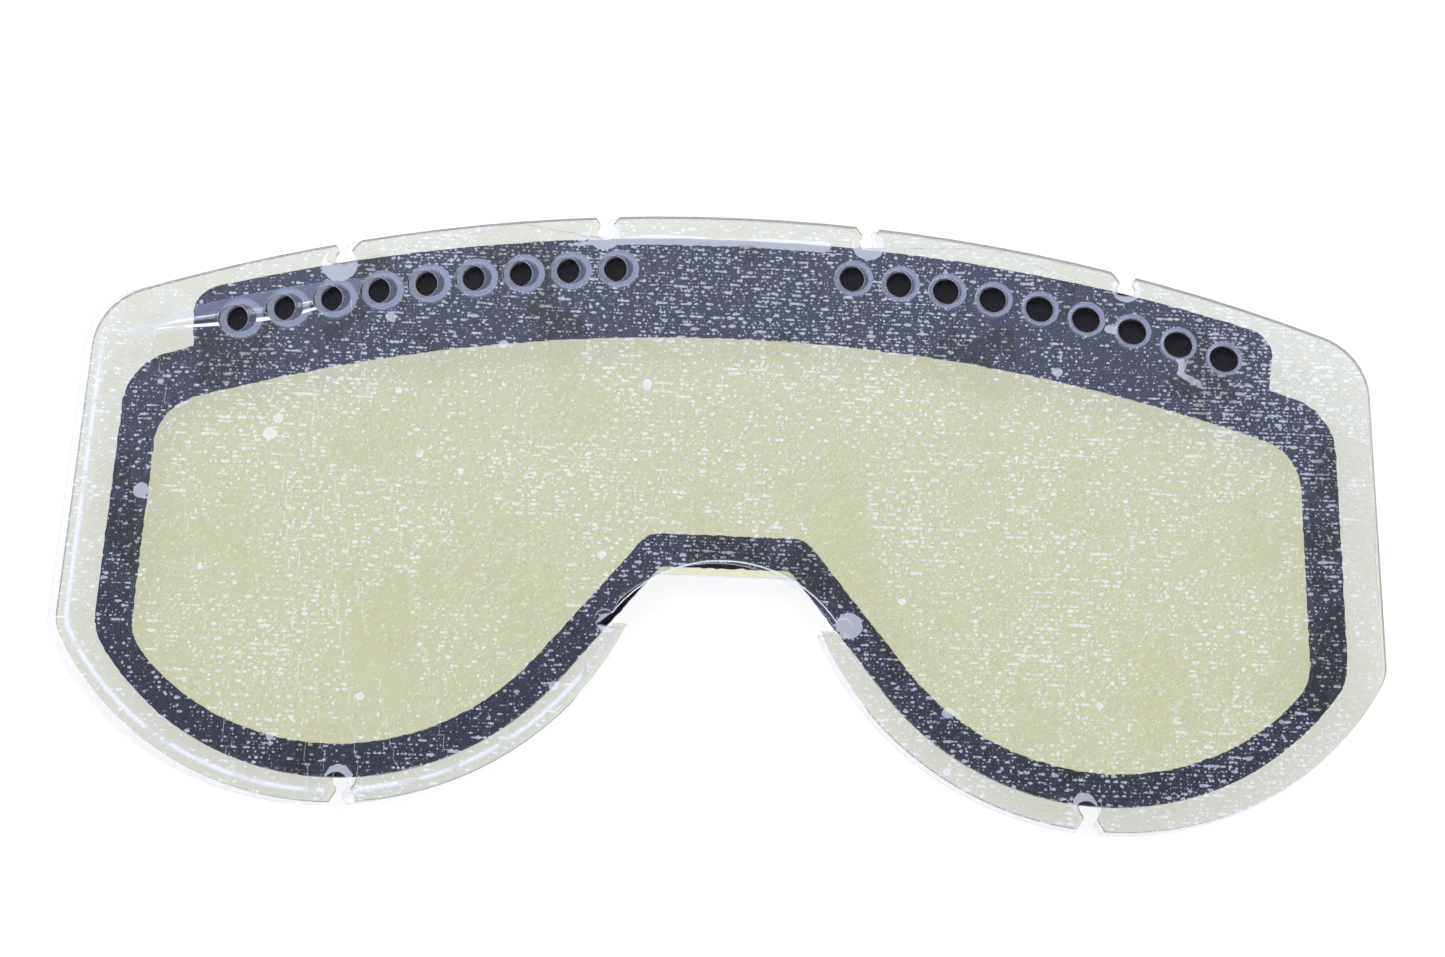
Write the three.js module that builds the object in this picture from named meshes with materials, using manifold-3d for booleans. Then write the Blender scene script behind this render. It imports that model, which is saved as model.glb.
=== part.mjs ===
// Vented double-pane replacement lens for motocross and ski goggles, with its masking films.
//
// Every piece is a flat plate, and the pieces lie on each other like the pages of a book:
// a film, the inner lens, an adhesive, the foam spacer, an adhesive, the outer lens, a film.
// X runs across the face, Y runs up towards the forehead and Z runs out, away from the eyes.
// The origin is on the underside, halfway between the two sides and halfway up the outer lens.
// All sizes are in millimetres.
import * as THREE from 'three';
import { mergeVertices } from 'three/addons/utils/BufferGeometryUtils.js';
import Module from 'manifold-3d';

// Outer lens.
const LENS_WIDTH = 172;
const LENS_HEIGHT = 83.5;
const LENS_CROWN_RADIUS = 232;      // the long arc of the top edge
const LENS_TOP_CORNER_RADIUS = 9;
const LENS_LOW_CORNER_RADIUS = 6;
const LENS_SIDE_FOOT = 21.8;        // height above the lowest point where the side edge ends

// Nose arch in the outer lens, and the small steps that key it into a goggle frame.
const NOSE_HALF_WIDTH = 14.85;
const NOSE_TOP = 33.95;             // height of the arch above the lowest point
const NOSE_ARCH_RISE = 8.15;        // height of the arch above its own feet
const NOSE_TAB_REACH = 2.35;        // how far each tab stands in under the arch
const NOSE_TAB_DROP = 1;            // from the arch's foot down to the tab
const NOSE_RELIEF_RADIUS = 1.25;

// Vent holes, in one row on each side.
const VENT_COUNT = 9;
const VENT_RADIUS = 2;
const VENT_PITCH = 6.43;            // measured along the row
const VENT_FIRST = 16.1;            // from the middle to the first hole, along the row
const VENT_ROW_DROP = 7.8;          // from the top edge down to the row, at the middle
const VENT_ROW_RADIUS = 222;

// Keyhole notches that snap over pegs in the frame's groove.
// Mouth and neck are half widths, the pocket is a radius, and depths run in from the edge.
const TOP_NOTCHES = {
  places: [18, 53.4], mouth: 1.6, neck: 0.9, neckDepth: 1, pocket: 1.25, depth: 3.5,
};
const LOW_NOTCHES = {
  places: [47.2], mouth: 1.75, neck: 0.95, neckDepth: 1.35, pocket: 1.5, depth: 4.5,
};

// Foam spacer: a ring between the two lenses, with a band above it that backs the vent holes.
const FLANGE_SIDE = 4.8;            // bare lens edge that goes into the frame's groove
const FLANGE_LOW = 4;
const FLANGE_TOP = 3;
const RING_SIDE = 4.1;
const RING_TOP = 6;
const RING_LOW = 3.6;
const RING_CROWN_DROP = 10.45;      // from the outer lens's top edge down to the ring's
const RING_CROWN_RADIUS = 234;
const RING_CORNER_RADIUS = 8;
const RING_NOSE_NARROWING = 6.3;    // the flat stretch over the nose, short of the arch's foot
const RING_NOSE_CORNER_RADIUS = 1;
const WINDOW_CORNER_RADIUS = 7;
const WINDOW_NOSE_CORNER_RADIUS = 3;
const VENT_BAND_RADIUS = 250;
const VENT_BAND_END = 6.7;          // past the centre of the last hole
const VENT_BAND_LEAN = 1;           // how far each end leans in towards its foot
const VENT_BAND_CORNER_RADIUS = 4;
const INNER_LENS_LIP = 1;           // the inner lens stands out past the foam at the nose

// Thicknesses, from the underside up.
const FILM_THICKNESS = 0.0625;
const INNER_LENS_THICKNESS = 0.5;
const ADHESIVE_THICKNESS = 0.125;
const FOAM_THICKNESS = 3;
const OUTER_LENS_THICKNESS = 0.75;

// The films are cut with the lenses, a little smaller, and the outer one has crept since.
const FILM_INSET = 0.25;
const FILM_CREEP = { x: -0.77, y: -0.8, stretchX: 1.005 };
const ADHESIVE_VENT_CLEARANCE = 0.4;

const ARC_TOLERANCE = 0.02;         // most that a chord may stand off its arc
const MERGE_DISTANCE = 1e-6;
const HOLE_SIDES = 24;
const CUT_MARGIN = 1;               // how far a cutter reaches past both faces

const COLOURS = {
  film: { color: 0xe4e6ee, roughness: 0.3, metalness: 0 },
  outerLens: { color: 0xd9dace, roughness: 0.08, metalness: 0 },
  adhesive: { color: 0xc9cbd2, roughness: 0.4, metalness: 0 },
  foam: { color: 0x1b1c22, roughness: 0.95, metalness: 0 },
  innerLens: { color: 0xd0d0a8, roughness: 0.08, metalness: 0 },
};

const wasm = await Module();
wasm.setup();

// ---- plane geometry -------------------------------------------------------------------

const lensCrown = LENS_HEIGHT / 2;
const lensLow = -LENS_HEIGHT / 2;
const noseFoot = { x: NOSE_HALF_WIDTH, y: lensLow + NOSE_TOP - NOSE_ARCH_RISE };
const noseTab = { x: noseFoot.x - NOSE_TAB_REACH, y: noseFoot.y - NOSE_TAB_DROP };

// The circle through three points, as {x, y, r}.
function circleThrough(a, b, c) {
  const d = 2 * (a.x * (b.y - c.y) + b.x * (c.y - a.y) + c.x * (a.y - b.y));
  const [aa, bb, cc] = [a, b, c].map((p) => p.x * p.x + p.y * p.y);
  const x = (aa * (b.y - c.y) + bb * (c.y - a.y) + cc * (a.y - b.y)) / d;
  const y = (aa * (c.x - b.x) + bb * (a.x - c.x) + cc * (b.x - a.x)) / d;
  return { x, y, r: Math.hypot(a.x - x, a.y - y) };
}

// A circle that hangs from the height `top` on the centre line.
function crownCircle(top, r) {
  return { x: 0, y: top - r, r };
}

// The round corner between an upright edge at x = wall and a circle that it cuts: above the
// circle's centre when up is 1, below it when up is -1. The angle points at the circle's end.
function cornerFillet(wall, circle, r, up) {
  const x = wall - r;
  const reach = circle.r - r;
  const y = circle.y + up * Math.sqrt(reach * reach - (x - circle.x) ** 2);
  return { x, y, r, angle: Math.atan2(y - circle.y, x - circle.x) };
}

const angleFrom = (centre, point) => Math.atan2(point.y - centre.y, point.x - centre.x);

// Adds one arc to a path. Arcs run clockwise unless said otherwise, and join with a line.
function arc(path, circle, from, to, clockwise = true) {
  path.absarc(circle.x, circle.y, circle.r, from, to, clockwise);
}

// The points along a path, close enough on each arc to stay within the tolerance of it.
function pointsAlong(path) {
  const points = path.curves.flatMap((curve) => {
    const step = curve.isEllipseCurve ? Math.sqrt(8 * curve.xRadius * ARC_TOLERANCE) : Infinity;
    return curve.getPoints(Math.max(1, Math.ceil(curve.getLength() / step)));
  });
  return points.filter((p, i) => i === 0 || p.distanceTo(points[i - 1]) > MERGE_DISTANCE);
}

// The closed outline whose right half the path draws, from the centre line back to it.
function mirrored(path) {
  const right = pointsAlong(path);
  const left = right.slice(1, -1).reverse().map((p) => new THREE.Vector2(-p.x, p.y));
  return new THREE.Shape([...right, ...left]);
}

// Starts a half outline: the crown arc, the top corner, the side and the low corner.
function startHalf(halfWidth, crown, edge, topCorner, lowCorner) {
  const path = new THREE.Path();
  const high = cornerFillet(halfWidth, crown, topCorner, 1);
  const low = cornerFillet(halfWidth, edge, lowCorner, -1);
  arc(path, crown, Math.PI / 2, high.angle);
  arc(path, high, high.angle, 0);
  arc(path, low, 0, low.angle);
  return { path, lowAngle: low.angle };
}

// The circle of the outer lens's lower edge on the right: from the foot of the side edge,
// through the lowest point, which lies midway between side and nose, to the tip of the tab.
const lobe = circleThrough(
  { x: LENS_WIDTH / 2, y: lensLow + LENS_SIDE_FOOT },
  { x: (LENS_WIDTH / 2 + NOSE_HALF_WIDTH) / 2, y: lensLow },
  noseTab,
);
const inset = (circle, by) => ({ ...circle, r: circle.r - by });

// The outer lens's outline, or a film's when it is drawn smaller all round.
function lensOutline(smaller = 0) {
  const edge = inset(lobe, smaller);
  const crown = crownCircle(lensCrown - smaller, LENS_CROWN_RADIUS - smaller);
  const half = startHalf(
    LENS_WIDTH / 2 - smaller, crown, edge, LENS_TOP_CORNER_RADIUS, LENS_LOW_CORNER_RADIUS,
  );
  const archRadius = (NOSE_HALF_WIDTH ** 2 + NOSE_ARCH_RISE ** 2) / (2 * NOSE_ARCH_RISE);
  const arch = crownCircle(lensLow + NOSE_TOP, archRadius);
  const wider = inset(arch, -smaller);
  arc(half.path, edge, half.lowAngle, angleFrom(edge, noseTab));
  half.path.lineTo(noseFoot.x, noseTab.y);
  arc(half.path, wider, angleFrom(arch, noseFoot), Math.PI / 2, false);
  return mirrored(half.path);
}

// The ring's outline, drawn smaller by the widths of its bands for the window inside it.
function ringOutline({ side, top, low, corner, noseCorner, lip = 0 }) {
  const ringCrown = crownCircle(lensCrown - RING_CROWN_DROP - top, RING_CROWN_RADIUS - top);
  const edge = inset(lobe, FLANGE_LOW + low);
  const half = startHalf(LENS_WIDTH / 2 - FLANGE_SIDE - side, ringCrown, edge, corner, corner);

  // The straight side beside the nose runs from the flat stretch over it and just touches the
  // lower edge's circle, so a narrower outline's side lies parallel to the ring's.
  const ringTop = lensLow + NOSE_TOP;
  const ringStart = new THREE.Vector2(noseFoot.x - RING_NOSE_NARROWING, ringTop);
  const toCentre = new THREE.Vector2(lobe.x, lobe.y).sub(ringStart);
  const slope = Math.asin((lobe.r - FLANGE_LOW) / toCentre.length()) - toCentre.angle();
  const along = new THREE.Vector2(Math.cos(slope), -Math.sin(slope));
  const across = new THREE.Vector2(-along.y, along.x);
  const start = ringStart.clone().addScaledVector(across, low);
  arc(half.path, edge, half.lowAngle, across.angle() - Math.PI);

  // The round corner between that side and the flat stretch over the nose.
  const flat = ringTop + low - lip;
  const turn = start.clone().addScaledVector(along, (start.y - flat) / Math.sin(slope));
  const back = noseCorner * Math.tan(slope / 2);
  const centre = { x: turn.x - back, y: flat - noseCorner, r: noseCorner };
  arc(half.path, centre, Math.PI / 2 - slope, Math.PI / 2, false);
  half.path.lineTo(0, flat);
  return mirrored(half.path);
}

// The band above the ring that backs the vent holes, down to well inside the ring.
function ventBandOutline() {
  const crown = crownCircle(lensCrown - FLANGE_TOP, VENT_BAND_RADIUS);
  const last = ventCentre(VENT_COUNT - 1);
  const corner = cornerFillet(last.x + VENT_BAND_END, crown, VENT_BAND_CORNER_RADIUS, 1);
  const foot = last.y - VENT_RADIUS - RING_TOP;
  const path = new THREE.Path();
  arc(path, crown, Math.PI / 2, corner.angle);
  arc(path, corner, corner.angle, 0);
  path.lineTo(last.x + VENT_BAND_END - VENT_BAND_LEAN, foot);
  path.lineTo(0, foot);
  return mirrored(path);
}

// Place of one vent hole on the right, counted out from the middle.
function ventCentre(index) {
  const turn = (VENT_FIRST + index * VENT_PITCH) / VENT_ROW_RADIUS;
  const row = crownCircle(lensCrown - VENT_ROW_DROP, VENT_ROW_RADIUS);
  return new THREE.Vector2(row.r * Math.sin(turn), row.y + row.r * Math.cos(turn));
}

function circleShape(centre, r, sides) {
  const corners = Array.from({ length: sides }, (_, i) => {
    const turn = (2 * Math.PI * i) / sides;
    return new THREE.Vector2(centre.x + r * Math.cos(turn), centre.y + r * Math.sin(turn));
  });
  return new THREE.Shape(corners);
}

// A keyhole notch that opens at (x, edge) and runs in by its depth; up is 1 on the top edge.
function notchShape(notch, x, edge, up) {
  const at = (dx, depth) => [x + dx, edge - up * depth];
  const centreDepth = notch.depth - notch.pocket;
  const neckTurn = Math.asin(notch.neck / notch.pocket);
  const shape = new THREE.Shape();
  shape.moveTo(...at(-notch.mouth - CUT_MARGIN, -CUT_MARGIN));
  shape.lineTo(...at(-notch.mouth, 0));
  shape.lineTo(...at(-notch.neck, notch.neckDepth));
  for (let i = 0; i <= HOLE_SIDES; i += 1) {
    const turn = Math.PI + neckTurn + ((2 * Math.PI - 2 * neckTurn) * i) / HOLE_SIDES;
    shape.lineTo(...at(notch.pocket * Math.sin(turn), centreDepth + notch.pocket * Math.cos(turn)));
  }
  shape.lineTo(...at(notch.neck, notch.neckDepth));
  shape.lineTo(...at(notch.mouth, 0));
  shape.lineTo(...at(notch.mouth + CUT_MARGIN, -CUT_MARGIN));
  return shape;
}

// ---- solids ---------------------------------------------------------------------------

// A plate of a shape, as a manifold, from z = bottom upwards.
function plate(shape, thickness, bottom = 0) {
  const geometry = new THREE.ExtrudeGeometry(shape, { depth: thickness, bevelEnabled: false });
  geometry.translate(0, 0, bottom);
  geometry.deleteAttribute('normal');
  geometry.deleteAttribute('uv');
  const merged = mergeVertices(geometry);
  const vertProperties = new Float32Array(merged.attributes.position.array);
  const triVerts = new Uint32Array(merged.index.array);
  return new wasm.Manifold(new wasm.Mesh({ numProp: 3, vertProperties, triVerts }));
}

// A cutter reaches past both faces of the plate that it cuts.
const cutter = (shape, thickness) => plate(shape, thickness + 2 * CUT_MARGIN, -CUT_MARGIN);
const cutAll = (solid, cutters) => cutters.reduce((left, tool) => left.subtract(tool), solid);
const bothSides = [-1, 1];

// Cutters for the vent holes, for any plate that they pass through.
function ventCutters(r, sides, thickness) {
  const cutters = [];
  for (const side of bothSides) {
    for (let i = 0; i < VENT_COUNT; i += 1) {
      const centre = ventCentre(i);
      centre.x *= side;
      cutters.push(cutter(circleShape(centre, r, sides), thickness));
    }
  }
  return cutters;
}

// Cutters for the notches and for the small reliefs at the feet of the nose arch.
function edgeCutters(thickness) {
  const cutters = [];
  const crown = crownCircle(lensCrown, LENS_CROWN_RADIUS);
  for (const side of bothSides) {
    for (const x of TOP_NOTCHES.places) {
      const edge = crown.y + Math.sqrt(crown.r ** 2 - x ** 2);
      cutters.push(cutter(notchShape(TOP_NOTCHES, side * x, edge, 1), thickness));
    }
    for (const x of LOW_NOTCHES.places) {
      const edge = lobe.y - Math.sqrt(lobe.r ** 2 - (x - lobe.x) ** 2);
      cutters.push(cutter(notchShape(LOW_NOTCHES, side * x, edge, -1), thickness));
    }
    const reach = NOSE_RELIEF_RADIUS / 2;
    const relief = { x: side * (noseFoot.x + reach), y: noseTab.y + reach };
    cutters.push(cutter(circleShape(relief, NOSE_RELIEF_RADIUS, HOLE_SIDES), thickness));
  }
  return cutters;
}

function outerLens(thickness = OUTER_LENS_THICKNESS, smaller = 0) {
  const cutters = [...ventCutters(VENT_RADIUS, HOLE_SIDES, thickness), ...edgeCutters(thickness)];
  return cutAll(plate(lensOutline(smaller), thickness), cutters);
}

function outerFilm() {
  const { x, y, stretchX } = FILM_CREEP;
  return outerLens(FILM_THICKNESS, FILM_INSET).scale([stretchX, 1, 1]).translate([x, y, 0]);
}

const RING_OUTSIDE = {
  side: 0, top: 0, low: 0, corner: RING_CORNER_RADIUS, noseCorner: RING_NOSE_CORNER_RADIUS,
};
const RING_WINDOW = {
  side: RING_SIDE,
  top: RING_TOP,
  low: RING_LOW,
  corner: WINDOW_CORNER_RADIUS,
  noseCorner: WINDOW_NOSE_CORNER_RADIUS,
};

function ring(thickness) {
  return plate(ringOutline(RING_OUTSIDE), thickness)
    .subtract(cutter(ringOutline(RING_WINDOW), thickness));
}

// The ring together with its vent band.
function spacer(thickness) {
  return plate(ringOutline(RING_OUTSIDE), thickness)
    .add(plate(ventBandOutline(), thickness))
    .subtract(cutter(ringOutline(RING_WINDOW), thickness));
}

// The adhesive stays clear of the vent holes, so that air reaches the foam.
function outerAdhesive() {
  const r = VENT_RADIUS + ADHESIVE_VENT_CLEARANCE;
  const cutters = ventCutters(r, HOLE_SIDES / 2, ADHESIVE_THICKNESS);
  return cutAll(spacer(ADHESIVE_THICKNESS), cutters);
}

function innerLens() {
  return plate(ringOutline({ ...RING_OUTSIDE, lip: INNER_LENS_LIP }), INNER_LENS_THICKNESS);
}

function innerFilm() {
  const smaller = { side: FILM_INSET, top: FILM_INSET, low: FILM_INSET, lip: INNER_LENS_LIP };
  return plate(ringOutline({ ...RING_OUTSIDE, ...smaller }), FILM_THICKNESS);
}

// ---- assembly -------------------------------------------------------------------------

const group = new THREE.Group();
let level = 0;

// Lays a piece on the pile, so that it starts where the one below it ends.
function stack(name, solid, thickness, finish) {
  const { vertProperties, triVerts } = solid.getMesh();
  const geometry = new THREE.BufferGeometry();
  geometry.setAttribute('position', new THREE.BufferAttribute(vertProperties, 3));
  geometry.setIndex(new THREE.BufferAttribute(triVerts, 1));
  geometry.computeVertexNormals();
  const mesh = new THREE.Mesh(geometry, new THREE.MeshStandardMaterial(finish));
  mesh.name = name;
  mesh.position.z = level;
  level += thickness;
  group.add(mesh);
}

stack('inner_masking_film', innerFilm(), FILM_THICKNESS, COLOURS.film);
stack('inner_lens', innerLens(), INNER_LENS_THICKNESS, COLOURS.innerLens);
stack('inner_adhesive', ring(ADHESIVE_THICKNESS), ADHESIVE_THICKNESS, COLOURS.adhesive);
stack('foam_spacer', spacer(FOAM_THICKNESS), FOAM_THICKNESS, COLOURS.foam);
stack('outer_adhesive', outerAdhesive(), ADHESIVE_THICKNESS, COLOURS.adhesive);
stack('outer_lens', outerLens(), OUTER_LENS_THICKNESS, COLOURS.outerLens);
stack('outer_masking_film', outerFilm(), FILM_THICKNESS, COLOURS.film);

export default group;
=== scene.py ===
# %% [markdown]
# # A vented double-pane goggle lens, finished in Blender
# The lens comes apart into seven thin layers. A masking film lies on a clear outer sheet. Tape
# and a black foam ring hold a yellow-green inner sheet at a distance behind it, and a second
# film covers the back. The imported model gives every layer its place. These cells give the
# layers that show their real edges, relief and finish.

import math

import bmesh
import bpy
from mathutils import Matrix, Vector, noise
from mathutils.kdtree import KDTree


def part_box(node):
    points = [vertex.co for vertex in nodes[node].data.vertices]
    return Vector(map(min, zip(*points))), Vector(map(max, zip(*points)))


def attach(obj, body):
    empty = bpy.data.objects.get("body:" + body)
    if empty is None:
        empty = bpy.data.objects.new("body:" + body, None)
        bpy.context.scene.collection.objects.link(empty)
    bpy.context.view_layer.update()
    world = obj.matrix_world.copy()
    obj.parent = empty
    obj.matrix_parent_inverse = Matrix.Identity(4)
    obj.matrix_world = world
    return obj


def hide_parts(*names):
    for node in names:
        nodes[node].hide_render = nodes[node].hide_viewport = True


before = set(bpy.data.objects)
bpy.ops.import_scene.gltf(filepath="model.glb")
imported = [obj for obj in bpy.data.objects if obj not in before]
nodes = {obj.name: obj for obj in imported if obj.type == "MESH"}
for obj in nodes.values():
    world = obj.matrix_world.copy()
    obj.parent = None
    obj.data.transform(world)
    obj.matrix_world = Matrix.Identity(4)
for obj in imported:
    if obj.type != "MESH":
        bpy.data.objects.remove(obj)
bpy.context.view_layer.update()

# %% [markdown]
# ## Lengths
# The layers are tenths of a millimetre thick and Blender counts in metres, so lengths are
# written in millimetres and turned into metres in one place.

# %% Millimetres
MM = 0.001
lens_low, lens_high = (Vector(corner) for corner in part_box("outer_lens"))
LENS_TOP = lens_high.z / MM
print("outer sheet", [round(v / MM, 2) for v in (lens_high - lens_low)], "mm, top at", LENS_TOP)

# %% [markdown]
# ## Camera
# The lens lies flat and is seen from the nose side, 20 degrees off straight down, from about
# 32 cm away. Close up, the near edge looks larger than the far one, so the distance matters
# as much as the angle. The turn is written as three plain turns: tilt, yaw, then roll.

# %% Camera
TILT, YAW, ROLL = 20.0, -0.688, 2.328
CAMERA_DISTANCE = 317.46 * MM
LOOK_AT = Vector((-0.874, 3.5, LENS_TOP)) * MM
FOCAL_LENGTH = 59.79
SENSOR_WIDTH = 36
NEAREST_SEEN = 10 * MM

turn = (Matrix.Rotation(math.radians(TILT), 3, "X")
        @ Matrix.Rotation(math.radians(YAW), 3, "Y")
        @ Matrix.Rotation(math.radians(ROLL), 3, "Z"))
stand = LOOK_AT + turn @ Vector((0, 0, CAMERA_DISTANCE))
camera = bpy.data.objects.new("camera", bpy.data.cameras.new("camera"))
camera.data.sensor_width = SENSOR_WIDTH
camera.data.lens = FOCAL_LENGTH
camera.data.clip_start = NEAREST_SEEN
camera.matrix_world = Matrix.Translation(stand) @ turn.to_4x4()
bpy.context.scene.collection.objects.link(camera)
bpy.context.scene.camera = camera
print("camera at", [round(v / MM, 1) for v in stand], "mm")

# %% [markdown]
# ## Nodes, in short words
# A finish is a tree of nodes, and so is the light of a room. Written out one call at a time a
# tree runs to pages, so this small class adds a node, feeds its sockets and returns an output
# in a single line. The commonest sums get plain names.

# %% Nodes for a finish or a room
class Nodes:
    """A node tree that is filled one line at a time."""

    def __init__(self, tree):
        self.tree = tree
        self.tree.nodes.clear()

    def feed(self, socket, value):
        if isinstance(value, bpy.types.NodeSocket):
            self.tree.links.new(value, socket)
        else:
            socket.default_value = value

    def add(self, kind, inputs=None, **settings):
        node = self.tree.nodes.new("ShaderNode" + kind)
        for name, value in settings.items():
            setattr(node, name, value)
        for name, value in (inputs or {}).items():
            self.feed(node.inputs[name], value)
        return node

    def math(self, operation, *values, clamp=False):
        node = self.add("Math", operation=operation, use_clamp=clamp)
        for socket, value in zip(node.inputs, values):
            self.feed(socket, value)
        return node.outputs[0]

    def chain(self, operation, values):
        total = values[0]
        for value in values[1:]:
            total = self.math(operation, total, value)
        return total

    def plus(self, *values):
        return self.chain("ADD", values)

    def minus(self, *values):
        return self.chain("SUBTRACT", values)

    def times(self, *values):
        return self.chain("MULTIPLY", values)

    def most(self, *values):
        return self.chain("MAXIMUM", values)

    def size(self, value):
        return self.math("ABSOLUTE", value)

    def ramp(self, value, start, end, to_start=0.0, to_end=1.0, shape="SMOOTHSTEP"):
        """value, carried from the span start..end to to_start..to_end."""
        node = self.add("MapRange", {"Value": value, "From Min": start, "From Max": end,
                                     "To Min": to_start, "To Max": to_end},
                        interpolation_type=shape)
        return node.outputs[0]

    def colour(self, share, first, second):
        node = self.add("Mix", data_type="RGBA")
        for name, value in (("Factor_Float", share), ("A_Color", first), ("B_Color", second)):
            self.feed(next(s for s in node.inputs if s.identifier == name), value)
        return next(s for s in node.outputs if s.identifier == "Result_Color")


# %% [markdown]
# A finish adds what only a surface has: patterns that are fixed to the piece by its Object
# coordinates, so that they ride along when a film is peeled off, relief, and shaders.

# %% A finish
class Finish(Nodes):
    """A material, and the nodes that only a surface needs."""

    def __init__(self, name):
        self.material = bpy.data.materials.new(name)
        self.material.use_nodes = True
        super().__init__(self.material.node_tree)

    def place(self, scale=(1, 1, 1), offset=(0, 0, 0)):
        """Object coordinates in millimetres, stretched and shifted."""
        coords = self.add("TexCoord").outputs["Object"]
        return self.add("Mapping", {"Vector": coords, "Location": offset,
                                    "Scale": tuple(s / MM for s in scale)}).outputs[0]

    def split(self, vector):
        """The x and y of a place."""
        return self.add("SeparateXYZ", {0: vector}).outputs[:2]

    def noise(self, vector, scale, detail=2.0, roughness=0.5):
        return self.add("TexNoise", {"Vector": vector, "Scale": scale, "Detail": detail,
                                     "Roughness": roughness}).outputs["Fac"]

    def bump(self, height, distance, strength=1.0, normal=None):
        inputs = {"Height": height, "Distance": distance * MM, "Strength": strength}
        if normal is not None:
            inputs["Normal"] = normal
        return self.add("Bump", inputs).outputs[0]

    def mix(self, share, first, second):
        return self.add("MixShader", {0: share, 1: first, 2: second}).outputs[0]

    def finish(self, shader):
        self.add("OutputMaterial", {"Surface": shader})
        return self.material


# %% [markdown]
# ## Taking an outline from a layer
# A new piece has to match the layer it stands for, notch for notch. A copy of that layer's
# mesh, merged and cut down to its upper face, is that outline, with every hole in its place.

# %% Copy a layer, or only its upper face
MERGE = 1e-7
FACES_UP = 0.5      # a face counts as upper, or a wall as upright, on this side of it


def layer_copy(node):
    mesh = bmesh.new()
    mesh.from_mesh(nodes[node].data)
    bmesh.ops.remove_doubles(mesh, verts=mesh.verts[:], dist=MERGE)
    mesh.normal_update()
    return mesh


def upper_face(node):
    mesh = layer_copy(node)
    others = [f for f in mesh.faces if f.normal.z < FACES_UP]
    bmesh.ops.delete(mesh, geom=others, context="FACES")
    return mesh


# %% The outlines of a flat piece
def rings_of(mesh):
    """The closed outlines of a flat piece, each as a list of points in millimetres."""
    edges = {e for e in mesh.edges if len(e.link_faces) == 1}
    rings = []
    while edges:
        edge = min(edges, key=lambda e: e.index)
        edges.discard(edge)
        start, here = edge.verts
        ring = [start]
        while here is not start:
            ring.append(here)
            edge = next(e for e in here.link_edges if e in edges)
            edges.discard(edge)
            here = edge.other_vert(here)
        rings.append([v.co / MM for v in ring])
    return rings


# %% Make a mesh a piece of the lens
def new_piece(name, mesh, materials, body, stands_for):
    data = bpy.data.meshes.new(name)
    mesh.to_mesh(data)
    mesh.free()
    piece = bpy.data.objects.new(name, data)
    bpy.context.scene.collection.objects.link(piece)
    for material in materials:
        data.materials.append(material)
    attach(piece, body)
    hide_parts(stands_for)
    print(name, len(data.vertices), "points", len(data.polygons), "faces")
    return piece


# %% [markdown]
# ## Clear sheets
# Flat plastic this thin doesn't visibly bend what is behind it. So it is a Transparent shader
# that takes a little colour away, a weak veil of scattered light, and a mirror that grows
# towards grazing views. Glass would cost many more bounces for the same picture. The mirror's
# share is Schlick's curve on Layer Weight's Facing, which works on both sides of a sheet.

# %% The mirror of a clear sheet
MIRROR_STRAIGHT_ON = 0.04
MIRROR_GRAZING = 0.6
SCHLICK_POWER = 5.0


def mirror_share(finish, strength):
    facing = finish.add("LayerWeight", {"Blend": 0.5}).outputs["Facing"]
    grazing = finish.times(finish.math("POWER", facing, SCHLICK_POWER), MIRROR_GRAZING)
    straight = finish.times(strength, MIRROR_STRAIGHT_ON)
    return finish.math("ADD", grazing, straight, clamp=True)


# %% A clear sheet
VEIL_ROUGHNESS = 0.6


def worked_out(setting, finish):
    """A setting is a number, or a function that works it out with the finish's nodes."""
    return setting(finish) if callable(setting) else setting


def clear_sheet(name, passes, veil, veil_share, mirror, roughness, relief=None):
    """A see-through sheet. passes and veil are colours, veil_share and mirror are shares."""
    finish = Finish(name)
    veil_inputs = {"Base Color": (*veil, 1), "Roughness": VEIL_ROUGHNESS}
    shine_inputs = {"Color": (1, 1, 1, 1), "Roughness": roughness}
    if relief:
        veil_inputs["Normal"] = shine_inputs["Normal"] = relief(finish)
    through = finish.add("BsdfTransparent", {"Color": (*passes, 1)}).outputs[0]
    haze = finish.add("BsdfPrincipled", veil_inputs).outputs[0]
    shine = finish.add("BsdfAnisotropic", shine_inputs).outputs[0]
    body = finish.mix(worked_out(veil_share, finish), through, haze)
    return finish.finish(finish.mix(mirror_share(finish, worked_out(mirror, finish)), body, shine))


def faint_scuffs(finish):
    """Very shallow waves, as on any handled plastic sheet."""
    return finish.bump(finish.noise(finish.place(), 0.07, 1.0), 0.3, 0.25)


def dust_share(finish):
    """A veil that is thin everywhere and thicker in small grains of dust."""
    grains = finish.noise(finish.place(), 3.0, 1.0, 0.7)
    return finish.ramp(grains, 0.6, 0.75, 0.001, 0.03)


# %% [markdown]
# The vents sit on one wide arc at even steps, and the arc's centre is on the lens's centre
# line. So the innermost and outermost vents on one side give the arc, and distances along and
# across it serve all eighteen.

# %% Find the vents and their arc
LARGEST_VENT = 3.0


def round_holes(node):
    """Centre and radius of each round hole of a layer, from left to right."""
    mesh = upper_face(node)
    mesh.edges.index_update()
    found = []
    for ring in rings_of(mesh):
        centre = sum(ring, Vector()) / len(ring)
        radius = sum((p - centre).length for p in ring) / len(ring)
        if radius < LARGEST_VENT:
            found.append((centre, radius))
    mesh.free()
    return sorted(found, key=lambda hole: hole[0].x)


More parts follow.
